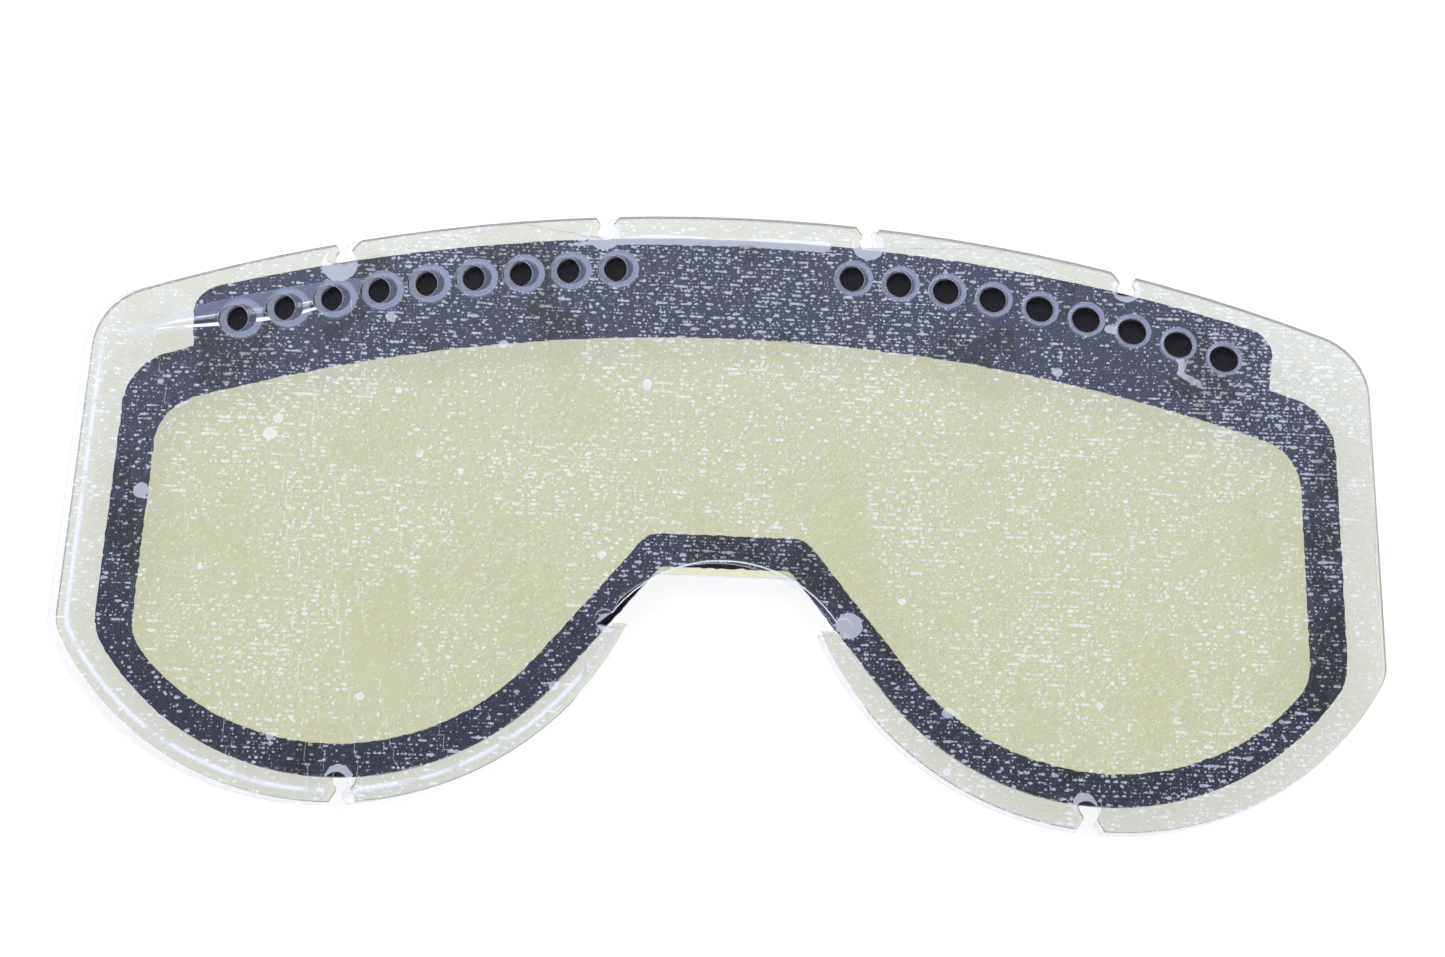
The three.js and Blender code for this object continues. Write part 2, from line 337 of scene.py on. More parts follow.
vents = round_holes("outer_lens")
VENT_RADIUS = vents[0][1]
VENTS_A_SIDE = len(vents) // 2
innermost, outermost = vents[VENTS_A_SIDE][0], vents[-1][0]
ARC_CENTRE_Y = ((outermost.xy.length_squared - innermost.xy.length_squared)
                / (2 * (outermost.y - innermost.y)))
ARC_RADIUS = math.hypot(outermost.x, outermost.y - ARC_CENTRE_Y)
FIRST_ANGLE = math.atan2(innermost.x, innermost.y - ARC_CENTRE_Y)
LAST_ANGLE = math.atan2(outermost.x, outermost.y - ARC_CENTRE_Y)
ANGLE_STEP = (LAST_ANGLE - FIRST_ANGLE) / (VENTS_A_SIDE - 1)
print(len(vents), "vents on an arc of", round(ARC_RADIUS, 1), "mm, one each",
      round(ANGLE_STEP * ARC_RADIUS, 2), "mm")


def vent_distance(finish):
    """Distance to the nearest vent's centre, and the place across the lens."""
    x, y = finish.split(finish.place(offset=(0, -ARC_CENTRE_Y, 0)))
    spot = finish.add("CombineXYZ", {0: x, 1: y}).outputs[0]
    out = finish.add("VectorMath", {0: spot}, operation="LENGTH").outputs["Value"]
    across = finish.minus(out, ARC_RADIUS)
    angle = finish.size(finish.math("ARCTAN2", x, y))
    step = finish.math("DIVIDE", finish.minus(angle, FIRST_ANGLE), ANGLE_STEP)
    nearest = finish.most(0.0, finish.math("MINIMUM", finish.math("ROUND", step),
                                           VENTS_A_SIDE - 1))
    along = finish.times(finish.minus(step, nearest), ANGLE_STEP * ARC_RADIUS)
    square = finish.plus(finish.times(along, along), finish.times(across, across))
    return finish.math("SQRT", square), x


# %% [markdown]
# The tape stops just short of each vent, so a ring of the outer sheet there has air behind it
# and looks paler. A veil that depends on the distance to the nearest vent draws that ring.

# %% The pale ring round each vent
HALO = 0.75            # how far the pale ring reaches past a vent, on average
HALO_GROWTH = 0.0035   # and how much wider it gets for every millimetre to the left
HALO_WOBBLE = 0.3
HALO_SHARE = 0.12
HALO_FADE = 0.1


def ring_veil(finish):
    away, x = vent_distance(finish)
    wobble = finish.times(finish.noise(finish.place(), 0.9, 2.0), HALO_WOBBLE)
    reach = finish.plus(VENT_RADIUS + HALO - HALO_WOBBLE / 2,
                        finish.plus(finish.times(x, -HALO_GROWTH), wobble))
    ring = finish.ramp(finish.minus(away, reach), -HALO_FADE, 0.0, HALO_SHARE, 0.0)
    return finish.plus(ring, dust_share(finish))


# %% [markdown]
# Each clear layer differs only in what it lets through, the colour and share of its veil, and
# how sharply it mirrors. The inner sheet's yellow-green is what it lets through.

# %% The sheets' finishes
outer_sheet_finish = clear_sheet("outer_sheet", (0.868, 0.87, 0.815), (0.7, 0.78, 1.0),
                                 ring_veil, 0.12, 0.08, faint_scuffs)
inner_sheet_finish = clear_sheet("inner_sheet", (0.955, 0.958, 0.845), (0.8, 0.8, 0.62),
                                 dust_share, 0.1, 0.08, faint_scuffs)
tape_finish = clear_sheet("clear_tape", (0.96, 0.96, 0.96), (0.6, 0.62, 0.66),
                          dust_share, 0.05, 0.3)
back_film_finish = clear_sheet("back_film", (0.99, 0.99, 0.985), (0.85, 0.85, 0.85),
                               dust_share, 0.05, 0.15)

# %% [markdown]
# A cut edge of clear sheet is not clear. Seen from above it pipes light to the side, so it
# shows as a thin grey and white line. That is what makes the outline of the lens readable on
# a white table, so the edges get a finish of their own. Its tone also carries painted shade,
# darker towards the nose side, and a painted highlight round the nose arch.

# %% The finish of a cut edge
ARCH_SIDE = (18.0, 19.0)      # the nose arch's edge ends between these, from the centre line
ARCH_FOOT = (-3.0, 0.0)       # and between these heights
# painted highlight: how many times brighter the edge is painted round the nose arch
ARCH_PAINTED_HIGHLIGHT = 2.6
# painted shade: the edges are painted darker towards the nose side
SHADED_FOOT = (-15.0, 15.0)   # edges grow dark from the second height down to the first
SHADED_LIGHT = 0.1


def cut_edge(name, colour, share, roughness):
    """An edge that is streaky, with painted shade towards the nose side and a painted highlight
    round the nose arch.
    """
    finish = Finish(name)
    streaks = finish.noise(finish.place((1.2, 1.2, 0.4)), 1.0, 2.0)
    x, y = finish.split(finish.place())
    arch = finish.times(finish.ramp(finish.size(x), *ARCH_SIDE, 1.0, 0.0),
                        finish.ramp(y, *ARCH_FOOT, 1.0, 0.0))
    painted_shade = finish.ramp(y, *SHADED_FOOT, SHADED_LIGHT, 1.0)
    light = finish.plus(finish.times(painted_shade, finish.ramp(streaks, 0.35, 0.65, 0.6, 1.0)),
                        finish.times(arch, ARCH_PAINTED_HIGHLIGHT))
    tone = finish.add("VectorMath", {0: colour, 3: light}, operation="SCALE").outputs[0]
    solid = finish.add("BsdfPrincipled", {"Base Color": tone, "Roughness": roughness})
    through = finish.add("BsdfTransparent", {"Color": (0.85, 0.87, 0.88, 1)})
    return finish.finish(finish.mix(share, through.outputs[0], solid.outputs[0]))


cut_edge_finish = cut_edge("cut_edge", (0.36, 0.37, 0.4), 0.65, 0.15)
film_edge_finish = cut_edge("film_edge", (0.22, 0.23, 0.26), 0.55, 0.25)

# %% [markdown]
# ## Foam
# The spacer is black open-cell foam. Up close it is a dark sponge: pits a third of a
# millimetre wide with slightly lighter walls between them. The pits are painted darker, as
# the shade that falls in them.

# %% Foam finish
CELLS_PER_MM = 3.2
GRAINS_PER_MM = 9.0
FOAM_WALL = (0.011, 0.011, 0.014, 1)
# painted shade: the colour deep in a pit
FOAM_PIT_SHADE = (0.001, 0.001, 0.0015, 1)


def foam_finish():
    finish = Finish("spacer_foam")
    cells = finish.add("TexVoronoi", {"Vector": finish.place(), "Scale": CELLS_PER_MM,
                                      "Randomness": 1.0}, feature="DISTANCE_TO_EDGE")
    pit_depth_and_shade = finish.ramp(cells.outputs["Distance"], 0.0, 0.2)
    grain = finish.noise(finish.place(), GRAINS_PER_MM, 3.0, 0.65)
    # the pits are painted darker, as shade in them; the bump gives them their relief
    tone = finish.colour(finish.times(pit_depth_and_shade, grain), FOAM_WALL, FOAM_PIT_SHADE)
    normal = finish.bump(grain, 0.06, 0.5, finish.bump(pit_depth_and_shade, -0.12, 0.8))
    foam = finish.add("BsdfPrincipled", {"Base Color": tone, "Roughness": 0.85,
                                         "Specular IOR Level": 0.2, "Normal": normal})
    return finish.finish(foam.outputs[0])


foam_black = foam_finish()
print("finishes", [m.name for m in bpy.data.materials])

# %% [markdown]
# ## The two sheets
# The sheets are die-cut, which leaves a slightly rounded arris. Bevelling only the edges
# between a flat face and a cut wall gives that arris, and it is what catches the light
# along the outline.

# %% Sheets with rounded cut edges
ARRIS = 0.07
CONTACT_GAP = 0.02
FLAT_WITHIN = math.radians(0.05)
LIES_FLAT = 0.999


def rounded_sheet(name, node, sheet_finish):
    mesh = layer_copy(node)
    bmesh.ops.dissolve_limit(mesh, angle_limit=FLAT_WITHIN, verts=mesh.verts[:],
                             edges=mesh.edges[:])
    rim = [e for e in mesh.edges if len(e.link_faces) == 2
           and abs(e.link_faces[0].normal.z - e.link_faces[1].normal.z) > FACES_UP]
    bmesh.ops.bevel(mesh, geom=rim, offset=ARRIS * MM, offset_type="OFFSET", segments=2,
                    profile=0.5, affect="EDGES", clamp_overlap=True, material=-1)
    mesh.normal_update()
    bottom = min(v.co.z for v in mesh.verts)
    for vertex in mesh.verts:
        if vertex.co.z < bottom + ARRIS * MM:
            vertex.co.z += CONTACT_GAP * MM
    for face in mesh.faces:
        face.material_index = 0 if abs(face.normal.z) > LIES_FLAT else 1
    return new_piece(name, mesh, [sheet_finish, cut_edge_finish], "lens", node)


rounded_sheet("outer_sheet", "outer_lens", outer_sheet_finish)
rounded_sheet("inner_sheet", "inner_lens", inner_sheet_finish)

# %% [markdown]
# ## The foam ring
# Die-cut foam never has a clean wall: cells are cut open, so it is ragged to about a tenth of
# a millimetre. The outline is divided finely, the face is pushed down layer by layer, and
# every point of the wall is moved sideways by noise.

# %% Divide an outline finely
def divide_rim(mesh, step):
    """Cuts every outline edge into pieces of at most one step."""
    by_cuts = {}
    for edge in mesh.edges:
        if len(edge.link_faces) == 1:
            cuts = math.ceil(edge.calc_length() / (step * MM)) - 1
            if cuts > 0:
                by_cuts.setdefault(cuts, []).append(edge)
    for cuts, edges in sorted(by_cuts.items()):
        bmesh.ops.subdivide_edges(mesh, edges=edges, cuts=cuts)


# %% Foam ring with a torn wall
FOAM_STEP = 0.6
FOAM_LAYERS = 7
FOAM_RAGGED = 0.22
TEAR_SCALES = (1.1, 2.9)    # of the noise, per millimetre
TEAR_SHARE = 0.6


def torn_foam():
    mesh = upper_face("foam_spacer")
    divide_rim(mesh, FOAM_STEP)
    foam_low, foam_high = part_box("foam_spacer")
    drop = (foam_high.z - foam_low.z - 2 * CONTACT_GAP * MM) / FOAM_LAYERS
    bmesh.ops.translate(mesh, verts=mesh.verts[:], vec=(0, 0, -CONTACT_GAP * MM))
    face = mesh.faces[:]
    for _ in range(FOAM_LAYERS):
        made = bmesh.ops.extrude_face_region(mesh, geom=face)["geom"]
        face = [g for g in made if isinstance(g, bmesh.types.BMFace)]
        bmesh.ops.translate(mesh, verts=[g for g in made if isinstance(g, bmesh.types.BMVert)],
                            vec=(0, 0, -drop))
    bmesh.ops.recalc_face_normals(mesh, faces=mesh.faces[:])
    mesh.normal_update()
    for vertex in mesh.verts:
        walls = [f.normal for f in vertex.link_faces if abs(f.normal.z) < FACES_UP]
        if walls:
            out = Vector((sum(n.x for n in walls), sum(n.y for n in walls), 0)).normalized()
            torn = sum(TEAR_SHARE * noise.noise(vertex.co / MM * s) for s in TEAR_SCALES)
            vertex.co += out * (torn * FOAM_RAGGED * MM)
    return new_piece("torn_foam_ring", mesh, [foam_black], "lens", "foam_spacer")


torn_foam()

# %% [markdown]
# ## The masking film
# The film is what the eye sees first. It sticks only in patches: where it touches the lens
# the two look like one sheet, and where air is caught between them the patch turns pale. The
# caught air follows the film's fine crosswise grain, so most of it is short dashes in rows,
# with round bubbles among them. Around holes, notches and creases the film stands off
# altogether.
#
# The film's shape is made first. Its outline is cut into a fine grid, then the points are
# raised where the film stands off. How far inside a stand-off region each point lies is
# stored as an attribute, which the finish reads to draw the region's crisp edge.

# %% Distance to an outline
LENS_OUTLINE_STEP = 0.25
FILM_OUTLINE_STEP = 0.15
CLEAR_OF_VENT = 0.3
LOW_NOTCH_X = 47.2
LOW_NOTCH_HALF = 2.4
LOW_NOTCH_TOP = -30     # the low notches lie below this height


def smooth(value, start, end):
    share = min(1.0, max(0.0, (value - start) / (end - start)))
    return share * share * (3 - 2 * share)


def outline_points(mesh, step):
    """Points along every outline of a flat piece, at most a step apart, in millimetres."""
    points = []
    for edge in mesh.edges:
        if len(edge.link_faces) == 1:
            first, last = (v.co / MM for v in edge.verts)
            pieces = max(1, math.ceil((last - first).length / step))
            points += [first.lerp(last, i / pieces) for i in range(pieces)]
    return points


def distance_tree(points):
    tree = KDTree(len(points))
    for index, spot in enumerate(points):
        tree.insert((spot.x, spot.y, 0), index)
    tree.balance()
    return tree


def distance(tree, spot):
    return tree.find((spot.x, spot.y, 0))[2]


def off_low_notches(spot):
    return spot.y > LOW_NOTCH_TOP or abs(abs(spot.x) - LOW_NOTCH_X) > LOW_NOTCH_HALF


lens_face = upper_face("outer_lens")
rim_points = [p for p in outline_points(lens_face, LENS_OUTLINE_STEP)
              if all((p - centre).length > radius + CLEAR_OF_VENT for centre, radius in vents)]
lens_face.free()
outline_tree = distance_tree([p for p in rim_points if off_low_notches(p)])
print(len(rim_points), "points along the lens's outline")

# %% [markdown]
# The film has slipped down and to the left, but it is stretched too: along the top it still
# lies nearly where it was cut. It also closes over the bottoms of the top notches and over the
# small reliefs beside the nose, and its left foot there is pushed to the right.

# %% Stretch the film, and close it over small openings
STRETCH_UP, STRETCH_RIGHT = 0.65, 0.35
TOP_NOTCHES = [(-54.44, -53.4), (-18.86, -18.0), (17.4, 18.0), (53.2, 53.4)]  # film's, lens's x
NOTCH_HALF = 1.7
NOTCH_REACH = 3.0           # how deep into a notch the film stays open
NOTCH_REST = 1.8            # and how much deeper the cut went
BESIDE_NOTCH = (2.2, 2.8)   # where the lens's edge beside a notch is read
TOP_EDGE = 25               # only the top edge lies above this height
NOSE_RELIEFS = [(-16.33, -17.13), (14.79, -17.13)]
RELIEF_REACH = 1.3
CLOSED_TO = 0.15            # what a closed opening keeps of its size
LEFT_FOOT = (-15.5, -16.3)
FOOT_REACH, FOOT_SHIFT = 3, 1.2


def stretch_film(mesh):
    for vertex in mesh.verts:
        spot = vertex.co / MM
        upper = smooth(spot.y, -10, 20)
        vertex.co.y += STRETCH_UP * upper * MM
        vertex.co.x += STRETCH_RIGHT * upper * smooth(spot.x, 0, 60) * MM


def notch_floor(lens_x):
    """The height at which the film closes a top notch, from the lens's edge beside it."""
    near, far = BESIDE_NOTCH
    beside = [p.y for p in rim_points if near < abs(p.x - lens_x) < far and p.y > TOP_EDGE]
    return sum(beside) / len(beside) - NOTCH_REACH


def close_film(mesh):
    for vertex in [v for v in mesh.verts if v.is_boundary]:
        spot = vertex.co / MM
        for x, lens_x in TOP_NOTCHES:
            if abs(spot.x - x) < NOTCH_HALF:
                floor = notch_floor(lens_x)
                if floor - NOTCH_REST < spot.y < floor:
                    vertex.co.y = (floor - CLOSED_TO * (floor - spot.y)) * MM
        from_foot = math.hypot(spot.x - LEFT_FOOT[0], spot.y - LEFT_FOOT[1])
        if from_foot < FOOT_REACH:
            vertex.co.x += FOOT_SHIFT * (1 - from_foot / FOOT_REACH) * MM
        for x, y in NOSE_RELIEFS:
            away = Vector((spot.x - x, spot.y - y))
            if away.length < RELIEF_REACH:
                vertex.co.x = (x + CLOSED_TO * away.x) * MM
                vertex.co.y = (y + CLOSED_TO * away.y) * MM


# %% The film's outline, cut into a grid
FILM_PITCH = 0.62
FILM_RIM_STEP = 2.0
SAME_PLANE = 1e-8


def grid_cut(mesh, pitch, axis, first, last):
    steps = int((last - first) / (pitch * MM))
    normal = Vector((0, 0, 0))
    normal[axis] = 1
    for step in range(1, steps):
        spot = Vector((0, 0, 0))
        spot[axis] = first + (last - first) * step / steps
        bmesh.ops.bisect_plane(mesh, geom=mesh.verts[:] + mesh.edges[:] + mesh.faces[:],
                               dist=SAME_PLANE, plane_co=spot, plane_no=normal)


film_sheet = upper_face("outer_masking_film")
divide_rim(film_sheet, FILM_RIM_STEP)
stretch_film(film_sheet)
close_film(film_sheet)
film_low, film_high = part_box("outer_masking_film")
grid_cut(film_sheet, FILM_PITCH, 0, film_low.x, film_high.x)
grid_cut(film_sheet, FILM_PITCH, 1, film_low.y, film_high.y)
film_tree = distance_tree(outline_points(film_sheet, FILM_OUTLINE_STEP))
print("film", len(film_sheet.verts), "points", len(film_sheet.faces), "faces")

# %% [markdown]
# Where the film stands off is listed as simple shapes on the lens: rings round the vents, a
# tunnel that runs through the first vents on the left, a strip along the top between the
# middle notches, pads at the notches, and bubbles. Each shape answers one question: how far
# inside it is a point?

# %% Bent strips of changing width
FAR = 9.0           # in half widths: counts as nowhere near a strip
END_SLACK = 0.3     # how far past its ends a strip still counts


def stretches(point, path):
    """Of each stretch of a bent line: how far off a point is, the half width there, how far
    past the stretch's ends the point lies, and its side. path: x, y and half width."""
    for (x0, y0, r0), (x1, y1, r1) in zip(path, path[1:]):
        dx, dy = x1 - x0, y1 - y0
        along = ((point.x - x0) * dx + (point.y - y0) * dy) / (dx * dx + dy * dy)
        held = min(1.0, max(0.0, along))
        away = math.hypot(point.x - x0 - held * dx, point.y - y0 - held * dy)
        past = max(0.0, -along, along - 1) * math.hypot(dx, dy)
        side = 1 if dx * (point.y - y0) > dy * (point.x - x0) else -1
        yield away, r0 + (r1 - r0) * held, past, side


def inside_path(point, path):
    """How far inside a strip a point is, in mm."""
    return max(width - away for away, width, _, _ in stretches(point, path))


def across_path(point, path):
    """Signed distance from a strip's middle over its half width: 0 on it, 1 at its edge."""
    away, width, past, side = min(stretches(point, path), key=lambda stretch: stretch[0])
    return FAR if past > END_SLACK else max(-FAR, min(FAR, side * away / width))


def inside_disc(point, x, y, radius):
    return radius - math.hypot(point.x - x, point.y - y)


# %% Where the film stands off
TUNNEL = [(-80.5, 21.3, 0.7), (-77.5, 21.9, 1.1), (-73.2, 23.6, 1.5), (-67.0, 25.2, 1.7),
          (-60.7, 26.9, 1.6), (-55.0, 28.3, 1.4), (-50.4, 29.4, 1.1), (-46.0, 30.2, 0.5)]
CREASE = [(-77.8, 21.7, 0.1), (-75.3, 22.4, 0.5), (-72.0, 22.95, 0.8), (-68.3, 23.6, 1.0),
          (-63.1, 24.5, 1.0), (-59.4, 25.3, 0.9), (-56.4, 26.2, 0.7), (-52.5, 27.3, 0.2)]
TOP_STRIP = [(-23.5, 36.6, 0.2), (-12.0, 37.9, 0.8), (0.0, 38.1, 0.7), (12.0, 37.9, 0.9)]
SQUIGGLE = [(60.0, 24.2, 0.5), (60.8, 22.5, 0.6), (60.4, 21.2, 0.45), (62.6, 20.0, 0.6),
            (63.6, 19.2, 0.3)]
PINCH = [(50.6, 27.3, 0.5), (54.6, 27.2, 0.9)]
PADS = [(-54.0, 32.2, 2.5), (-18.3, 38.2, 2.2), (18.0, 38.3, 2.2), (53.4, 33.4, 2.0),
        (-47.9, -38.7, 1.8), (46.4, -38.3, 1.5), (-15.1, -17.0, 1.4), (16.2, -16.1, 1.8)]
BUBBLES = [(-61.0, 7.3, 1.0), (-60.2, 9.5, 0.75), (-77.1, -1.4, 1.1), (-44.5, 14.2, 0.6),
           (-68.3, -11.5, 0.5), (-35.5, 3.1, 0.55), (23.0, -12.5, 0.6), (38.2, 8.0, 0.5),
           (-31.0, 21.5, 0.7), (64.8, 24.0, 0.5), (-57.0, -33.7, 0.6), (-54.6, -31.2, 0.5)]


def lifted(point):
    """How far inside the tunnel, or the lifted ring round a vent, a point is, in mm."""
    rings = [inside_disc(point, centre.x, centre.y, radius + HALO - HALO_GROWTH * centre.x)
             for centre, radius in vents]
    return max(rings + [inside_path(point, TUNNEL)])


def blistered(point):
    """The same for the small places where the film is blown up from the lens."""
    discs = [inside_disc(point, *disc) for disc in PADS + BUBBLES]
    return max(discs + [inside_path(point, path) for path in (TOP_STRIP, SQUIGGLE, PINCH)])


# %% [markdown]
# The film also curls up along the left and lower left of the lens, where it has crept over
# the edge. A fold line runs a little inside that edge. Two more fold lines run side by side
# through the first vents. The finish paints a highlight along each fold, so the distance to
# each fold is stored with its sign: the finish can then draw a line much finer than the grid.

# %% Curl, folds and height
CURL_IN = 1.35          # how far inside the edge the curl's fold line runs
CURL_RISE = 0.16
FOLD_RISE, FOLD_WIDTH = 0.12, 0.4
STAND_OFF_RISE = 0.02
CREASE_RISE = 0.15
WAVES = [(0.025, 0.09), (0.012, 0.31)]      # height, and waves per millimetre
WAVE_ROOM = 0.04
FILM_GAP = 0.03


def curl_share(point):
    """1 where the film curls, along the left and lower left edge, fading to 0 elsewhere."""
    left = smooth(-point.x, 60, 76) * smooth(-point.y, -26, -14)
    low = smooth(-point.x, 12, 18) * smooth(-point.y, 17, 24)
    return max(left, low)


def film_height(point, off):
    """How far the film stands off the lens at a point that is off mm inside a stand-off."""
    rim = distance(outline_tree, point)
    fold = math.exp(-((rim - CURL_IN) / FOLD_WIDTH) ** 2)
    curl = FOLD_RISE * fold + CURL_RISE * (1 - smooth(rim, 0.0, CURL_IN))
    height = curl_share(point) * curl
    height += STAND_OFF_RISE * smooth(off, 0.0, 1.2)
    height += CREASE_RISE * smooth(inside_path(point, CREASE), 0.0, 1.0)
    return height + sum(rise * noise.noise(point * scale) for rise, scale in WAVES)


# %% Raise the film and store its stand-off
OUTSIDE = -3.0          # far enough outside a region for the finish
stored = {name: film_sheet.verts.layers.float.new(name)
          for name in ("lifted", "blistered", "edge_in", "fold_in", "curl", "across")}
for vertex in film_sheet.verts:
    spot = vertex.co / MM
    lift, blister = lifted(spot), blistered(spot)
    vertex[stored["lifted"]] = max(lift, OUTSIDE)
    vertex[stored["blistered"]] = max(blister, OUTSIDE)
    vertex[stored["edge_in"]] = distance(film_tree, spot)
    vertex[stored["fold_in"]] = distance(outline_tree, spot) - CURL_IN
    vertex[stored["curl"]] = curl_share(spot)
    vertex[stored["across"]] = across_path(spot, CREASE)
    height = film_height(spot, max(lift, blister))
    vertex.co.z = (LENS_TOP + FILM_GAP + WAVE_ROOM + height) * MM
print("film stands", round(max(v.co.z for v in film_sheet.verts) / MM - LENS_TOP, 2), "mm high")

# %% [markdown]
# ## The film's finish
# The upper side is plain glossy film. The caught air belongs to the underside, so the pattern
# is drawn there: dashes in rows, bubbles, and the stand-off regions. A dash is the part of a
# row where noise is high, and it ends in a taper because the noise has to beat the distance
# from the row's middle line.

# %% Caught air: dashes, specks and bubbles
ROW_PITCH = 0.62
FINE_ROW_PITCH = ROW_PITCH * 0.71
ROW_SEED = 7.31         # sets each row's noise apart from the next one's
DASH_TAPER = 1.1
AIR_LEVEL = 0.622       # the noise has to be above this, so a lower level means more air
AIR_PATCHES = 0.16
AIR_TO_THE_RIGHT = 0.02


def dashes(finish, row_pitch, length, level, offset):
    x, y = finish.split(finish.place(offset=offset))
    wobble = finish.noise(finish.place((0.25, 0.25, 1)), 1.0, 2.0)
    rows = finish.plus(finish.math("DIVIDE", y, row_pitch), finish.times(wobble, 0.8))
    row = finish.math("FLOOR", rows)
    off_middle = finish.size(finish.minus(finish.math("FRACT", rows), 0.5))
    where = finish.add("CombineXYZ", {0: finish.math("DIVIDE", x, length),
                                      1: finish.times(row, ROW_SEED)}).outputs[0]
    strength = finish.noise(where, 1.0, 2.0, 0.6)
    taper = finish.times(finish.math("POWER", off_middle, 2.0), DASH_TAPER)
    return finish.ramp(finish.minus(strength, finish.plus(level, taper)), 0.0, 0.02)


def bubbles(finish, size, share, largest, offset):
    vector = finish.place(offset=offset)
    blur = finish.noise(vector, 1.6 / size, 2.0)
    cell = finish.add("TexVoronoi", {"Vector": vector, "Scale": 1 / size})
    chance = finish.split(cell.outputs["Color"])[0]
    radius = finish.ramp(chance, 1 - share, 1.0, 0.0, largest)
    reach = finish.plus(cell.outputs["Distance"], finish.times(finish.minus(blur, 0.5), 0.35))
    return finish.ramp(finish.minus(radius, reach), 0.0, 0.04)


def caught_air(finish):
    """1 in a dash, a speck or a bubble, and 0 where the film sticks."""
    density = finish.noise(finish.place((0.05, 0.05, 1)), 1.0, 3.0)
    across = finish.split(finish.place((0.01, 0.01, 1)))[0]
    level = finish.minus(finish.minus(AIR_LEVEL, finish.times(density, AIR_PATCHES)),
                         finish.times(across, AIR_TO_THE_RIGHT))
    return finish.most(
        dashes(finish, ROW_PITCH, 1.0, level, (0, 0, 0)),
        dashes(finish, FINE_ROW_PITCH, 0.45, finish.plus(level, 0.03), (13, 5, 0)),
        bubbles(finish, 1.5, 0.3, 0.2, (0, 0, 0)),
        bubbles(finish, 5.0, 0.4, 0.17, (31, 17, 0)))


# %% [markdown]
# A fold gets a painted highlight, a white line in the veil. The stored distances are
# interpolated across the grid, so a ramp on one of them gives a line with a crisp edge that is
# finer than the grid itself.

# %% Painted fold highlights from the stored distances
def read(finish, name):
    return finish.add("Attribute", attribute_name=name).outputs["Fac"]


def line(finish, distance_off, inner, outer):
    """1 on a line, and 0 beyond the outer distance from it."""
    return finish.ramp(finish.size(distance_off), inner, outer, 1.0, 0.0)


def fold_highlights(finish, off_vents):
    """The painted highlights on the film's folds, and how clear between the two of the crease."""
    across = read(finish, "across")
    # painted highlights: two white lines along the crease
    upper = finish.times(line(finish, finish.minus(across, 0.8), 0.03, 0.2), 0.6)
    lower = finish.times(line(finish, finish.plus(across, 0.75), 0.12, 0.38), 0.9)
    patches = finish.noise(finish.place((0.35, 0.35, 1)), 1.0, 2.0)
    broken = finish.ramp(patches, 0.35, 0.5, 0.35, 1.0)
    crease = finish.times(finish.most(upper, lower), broken, off_vents)
    along_edge = line(finish, read(finish, "fold_in"), 0.0, 0.6)
    # painted highlight along the curl's fold line
    edge_fold_highlight = finish.times(along_edge, read(finish, "curl"), finish.times(broken, 0.42))
    middle = finish.times(line(finish, across, 0.25, 0.6), 0.75, off_vents)
    return finish.most(crease, edge_fold_highlight), middle


# %% [markdown]
# The underside gathers all of it into one veil: barely there where the film is wet, half
# opaque in caught air, paler again where the film stands off, and white on folds and along the
# cut edge. The white on the folds is a painted highlight. Where the film is wet the veil is a
# faint haze and a painted reflection of the room, stronger towards the top. Its tone goes from
# blue in thin veils, the painted reflection's colour, to grey in thick ones.

# %% The film's underside
# where the film sticks, the veil is a faint haze and a painted reflection of the room, stronger
# towards the top
WET_HAZE_AND_REFLECTION = (0.035, 0.068)            # the veil where the film sticks, at the bottom and at the top
WET_SPAN = (-36.0, 34.0)
AIR_VEIL = 0.44
OFF_VEIL, OFF_RIM_VEIL = 0.09, 0.08
BLISTER_VEIL = 0.36
EDGE_VEIL = 0.4
# painted reflection: the blue of thin veils is the colour of the reflected room
THIN_VEIL_REFLECTION_TONE = (0.57, 0.64, 1.0, 1)
THICK_TONE = (0.68, 0.72, 0.82, 1)
EDGE_TONE = (0.5, 0.52, 0.6, 1)
# painted highlight: the white of the folds
FOLD_HIGHLIGHT_TONE = (0.95, 0.97, 1.0, 1)


# painted reflection: the veil of wet film grows from the bottom to the top
def wet_haze_and_painted_reflection(finish):
    return finish.ramp(finish.split(finish.place())[1], *WET_SPAN, *WET_HAZE_AND_REFLECTION)


def off_veil(finish, inside, off, off_vents):
    """The veil of film that stands off, with a paler rim, and weaker over the open vents."""
    rim = finish.minus(off, finish.ramp(inside, 0.1, 0.2))
    veil = finish.plus(finish.times(off, OFF_VEIL), finish.times(rim, OFF_RIM_VEIL))
    return finish.times(veil, finish.plus(0.3, finish.times(off_vents, 0.7)))


